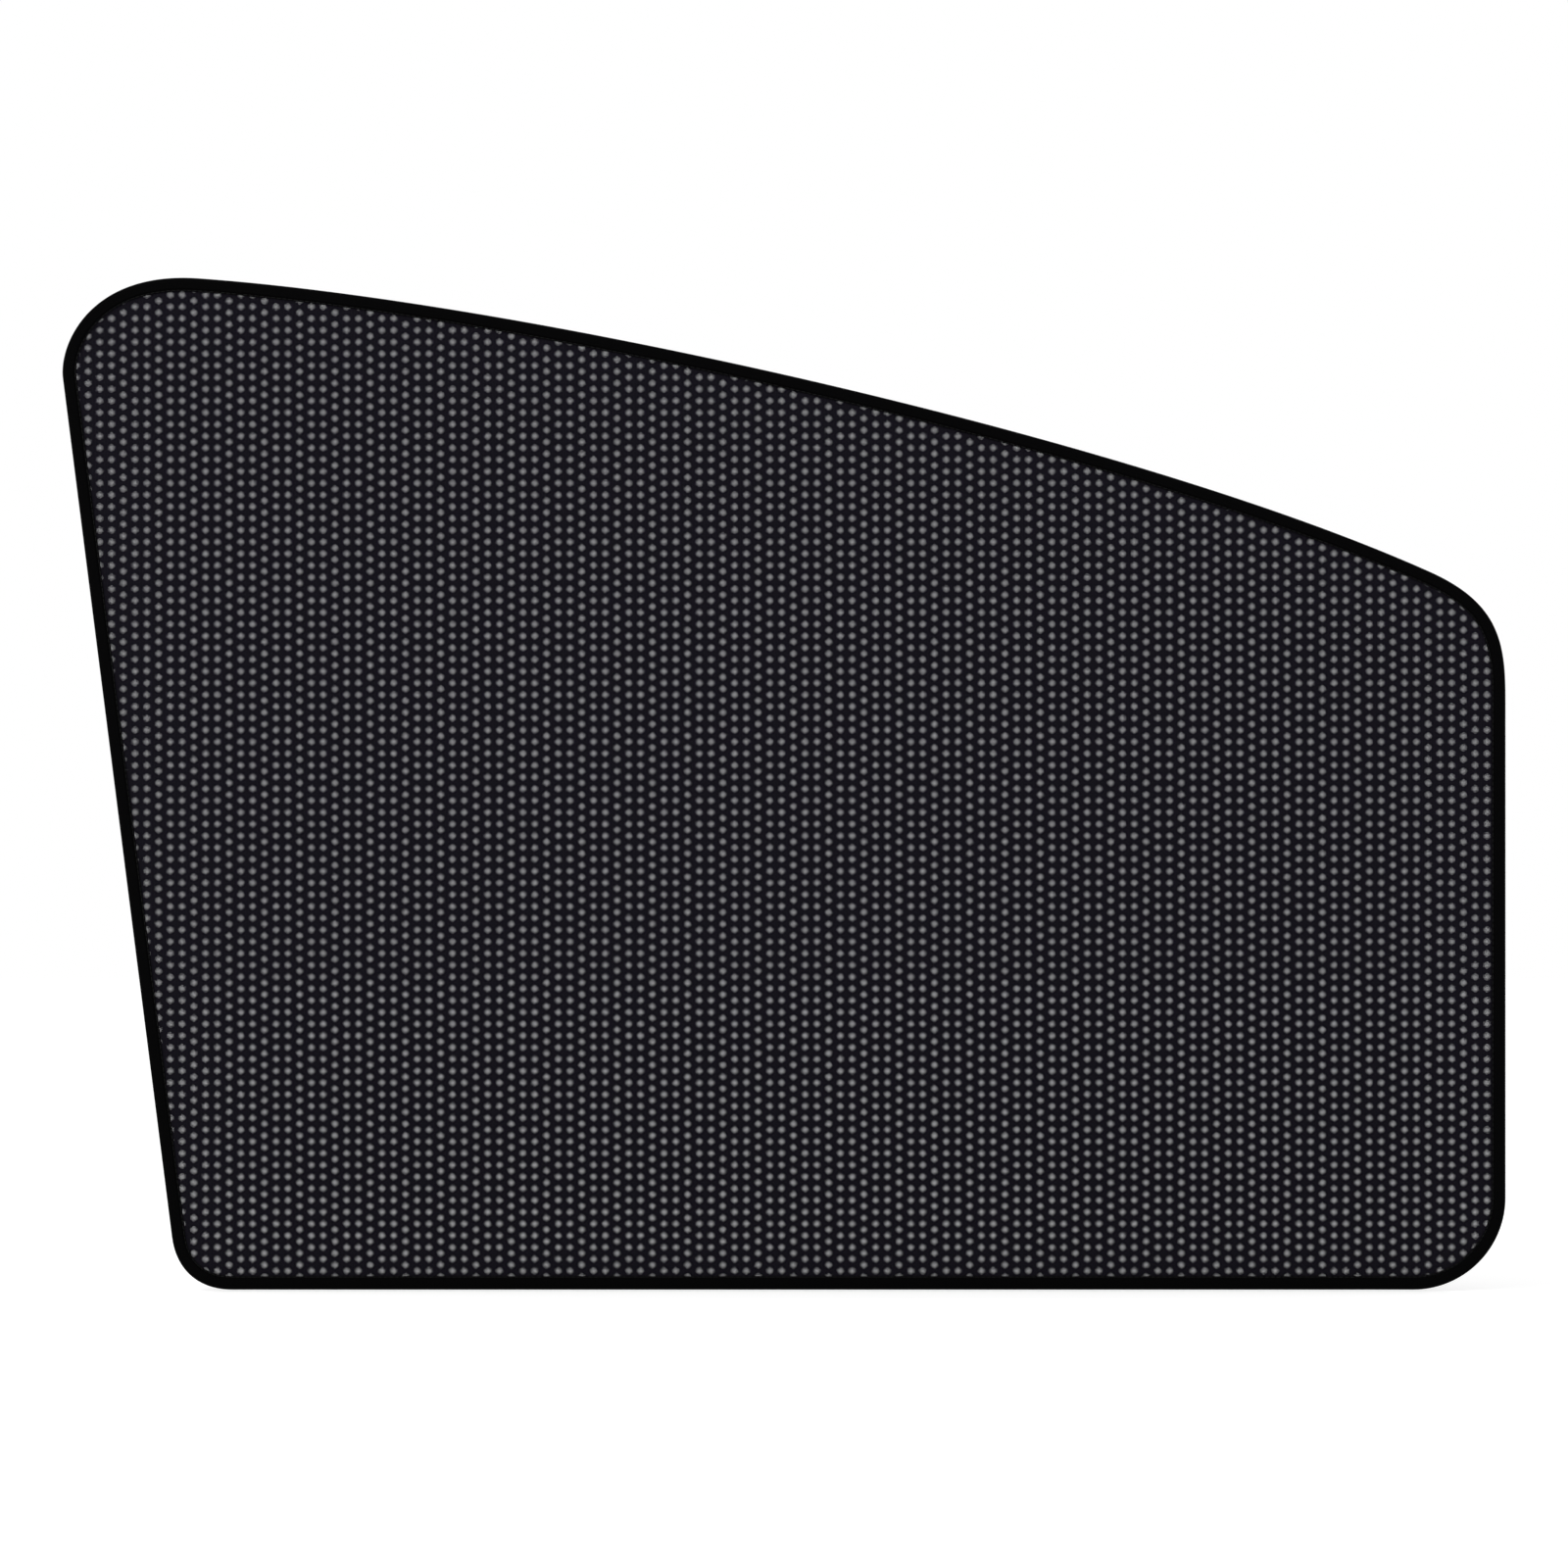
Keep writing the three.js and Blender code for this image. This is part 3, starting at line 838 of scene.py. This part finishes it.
tape_cloth, tree, shader = new_material(
    "tape_cloth", (0.0012, 0.0012, 0.0013), 0.75, specular=0.02)
tape_map = tree.nodes.new("ShaderNodeUVMap")
tape_map.uv_map = "tape"
ribs = bands(tree, tape_map.outputs["UV"], "X", RIB_SPACING)
wefts = bands(tree, tape_map.outputs["UV"], "Y", WEFT_SPACING)
weave = worked(tree, "MULTIPLY", ribs, wefts)
fuzz = noise(tree, object_place(tree), 900.0)
relief(tree, shader, worked(tree, "ADD", weave, fuzz), 0.00010, 0.8)
tinted(tree, shader, fuzz, (0.0007, 0.0007, 0.0008), (0.0017, 0.0017, 0.0018))
print("tape: ribs every", RIB_SPACING / MM, "mm and wefts every",
      WEFT_SPACING / MM, "mm")

# %% [markdown]
# The sewing thread is smoother than the tape and has a slight sheen, so the row
# of stitches can be told from the cloth. A fine noise stands for its twist.

# %% Seam thread
seam_fibre, tree, shader = new_material(
    "seam_fibre", (0.0030, 0.0030, 0.0032), 0.5, specular=0.15)
twist = noise(tree, object_place(tree), 3000.0)
relief(tree, shader, twist, 0.00005, 0.6)
print("seam thread sheen", shader.inputs["Specular IOR Level"].default_value)

# %% [markdown]
# The wire, its sleeve and the magnets are sealed in the binding. They keep their
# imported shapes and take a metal's colour: drawn spring steel, crimped zinc and
# nickel plate. A fine noise varies their roughness, as handling does.

# %% Metals sealed inside
def brushed(name, colour, roughness, scale, spread):
    """Metal whose roughness runs from roughness - spread to roughness + spread,
    by a fine noise that also gives it a faint relief."""
    material, tree, shader = new_material(
        name, colour, roughness, metallic=1.0, specular=0.5)
    grain = noise(tree, object_place(tree), scale, detail=4.0)
    span = tree.nodes.new("ShaderNodeMapRange")
    span.inputs["To Min"].default_value = roughness - spread
    span.inputs["To Max"].default_value = roughness + spread
    tree.links.new(grain, span.inputs["Value"])
    tree.links.new(span.outputs["Result"], shader.inputs["Roughness"])
    relief(tree, shader, grain, 0.00002, 0.4)
    return material


spring_steel = brushed("spring_steel", (0.55, 0.56, 0.58), 0.32, 1400.0, 0.10)
crimped_zinc = brushed("crimped_zinc", (0.64, 0.65, 0.65), 0.45, 700.0, 0.12)
nickel = brushed("nickel_plate", (0.70, 0.69, 0.66), 0.24, 500.0, 0.08)
print("metals", [m.name for m in (spring_steel, crimped_zinc, nickel)])

# %% [markdown]
# The four new pieces take their cloth and threads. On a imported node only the
# material in its slots is exchanged, and its mesh is left as it is.

# %% Give each piece its finish
for piece, material in ((net, net_yarn), (threads, thread_fibre),
                        (binding, tape_cloth), (seam, seam_fibre)):
    piece.data.materials.clear()
    piece.data.materials.append(material)

finish_of_node = {"frame_wire": spring_steel, "wire_sleeve": crimped_zinc}
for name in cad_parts:
    if name.startswith("magnet_"):
        finish_of_node[name] = nickel
for name, material in finish_of_node.items():
    node_object = bpy.data.objects[name]
    for slot in node_object.material_slots:
        slot.material = material
print("finished nodes", sorted(finish_of_node))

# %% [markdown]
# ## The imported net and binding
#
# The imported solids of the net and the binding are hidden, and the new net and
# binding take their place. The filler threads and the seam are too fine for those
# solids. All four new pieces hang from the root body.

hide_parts("mesh_panel")
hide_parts("edge_binding")
for piece, slot in ((net, "net"), (threads, "net"),
                    (binding, "binding_tape"), (seam, "binding_tape")):
    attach(piece, "root")
print("new pieces", [piece.name for piece in (net, threads, binding, seam)])

# %% [markdown]
# The net is a flat sheet that was cut to the outline and is held stretched.

# %% [markdown]
# ## Floor, backdrop and light
#
# The shade stands over a plain white floor against white. The light is soft and
# level: most of it comes from all round, and one broad lamp high on the left
# gives the tape and the threads a little form.

# %% Floor
FLOOR_LEVEL = -0.0008
FLOOR_HALF_WIDTH = 6.0
FLOOR_DEPTH_BEHIND = 8.0

floor_mesh = bpy.data.meshes.new("floor")
floor_mesh.from_pydata(
    [(-FLOOR_HALF_WIDTH, -FLOOR_HALF_WIDTH, FLOOR_LEVEL),
     (FLOOR_HALF_WIDTH, -FLOOR_HALF_WIDTH, FLOOR_LEVEL),
     (FLOOR_HALF_WIDTH, FLOOR_DEPTH_BEHIND, FLOOR_LEVEL),
     (-FLOOR_HALF_WIDTH, FLOOR_DEPTH_BEHIND, FLOOR_LEVEL)],
    [], [(0, 1, 2, 3)])
floor = bpy.data.objects.new("floor", floor_mesh)
bpy.context.scene.collection.objects.link(floor)
print("floor at", FLOOR_LEVEL / MM, "mm")


# %% [markdown]
# A white backdrop can be had without flooding the shade with light. The floor and
# the sky show at full white only to rays that look at them, straight from the
# camera or by way of metal. The light that reaches the shade stays plain and soft.

# %% White for the rays that look at it
def looking_rays(tree):
    """1 for rays from the camera, off metal or through glass, and 0 for others."""
    path = tree.nodes.new("ShaderNodeLightPath")
    looking = worked(tree, "MAXIMUM", path.outputs["Is Camera Ray"],
                     path.outputs["Is Glossy Ray"])
    return worked(tree, "MAXIMUM", looking, path.outputs["Is Transmission Ray"])


FLOOR_GLOW = 0.55
floor_white = bpy.data.materials.new("floor_white")
floor_white.use_nodes = True
tree = floor_white.node_tree
tree.nodes.clear()
out = tree.nodes.new("ShaderNodeOutputMaterial")
both = tree.nodes.new("ShaderNodeAddShader")
matt = tree.nodes.new("ShaderNodeBsdfDiffuse")
matt.inputs["Color"].default_value = (0.75, 0.75, 0.75, 1.0)
glow = tree.nodes.new("ShaderNodeEmission")
share = worked(tree, "MULTIPLY", looking_rays(tree), FLOOR_GLOW)
tree.links.new(share, glow.inputs["Strength"])
tree.links.new(matt.outputs[0], both.inputs[0])
tree.links.new(glow.outputs[0], both.inputs[1])
tree.links.new(both.outputs[0], out.inputs["Surface"])
floor_mesh.materials.append(floor_white)
print("floor glow", FLOOR_GLOW)

# %% Sky
SKY_LIGHT = 0.70

world = bpy.data.worlds.new("soft_white")
bpy.context.scene.world = world
world.use_nodes = True
tree = world.node_tree
sky = tree.nodes["Background"]
sky.inputs["Color"].default_value = (1.0, 1.0, 1.0, 1.0)
extra = worked(tree, "MULTIPLY", looking_rays(tree), 1.0 - SKY_LIGHT)
tree.links.new(worked(tree, "ADD", extra, SKY_LIGHT), sky.inputs["Strength"])
print("sky light", SKY_LIGHT)

# %% Lamp
LAMP_PLACE = (-1.4, -2.2, 1.9)
LAMP_TARGET = (0.0, 0.0, 0.25)

lamp_data = bpy.data.lights.new("broad_lamp", "AREA")
lamp_data.shape = "SQUARE"
lamp_data.size = 1.6
lamp_data.energy = 32.0
lamp = bpy.data.objects.new("broad_lamp", lamp_data)
lamp.location = LAMP_PLACE
aim = np.array(LAMP_TARGET) - np.array(LAMP_PLACE)
lamp.rotation_euler = (
    np.arctan2(np.hypot(aim[0], aim[1]), -aim[2]), 0.0, np.arctan2(-aim[0], aim[1]))
bpy.context.scene.collection.objects.link(lamp)
bpy.context.scene.view_settings.view_transform = "Standard"
print("lamp", round(float(np.linalg.norm(aim)), 2), "m from the shade")
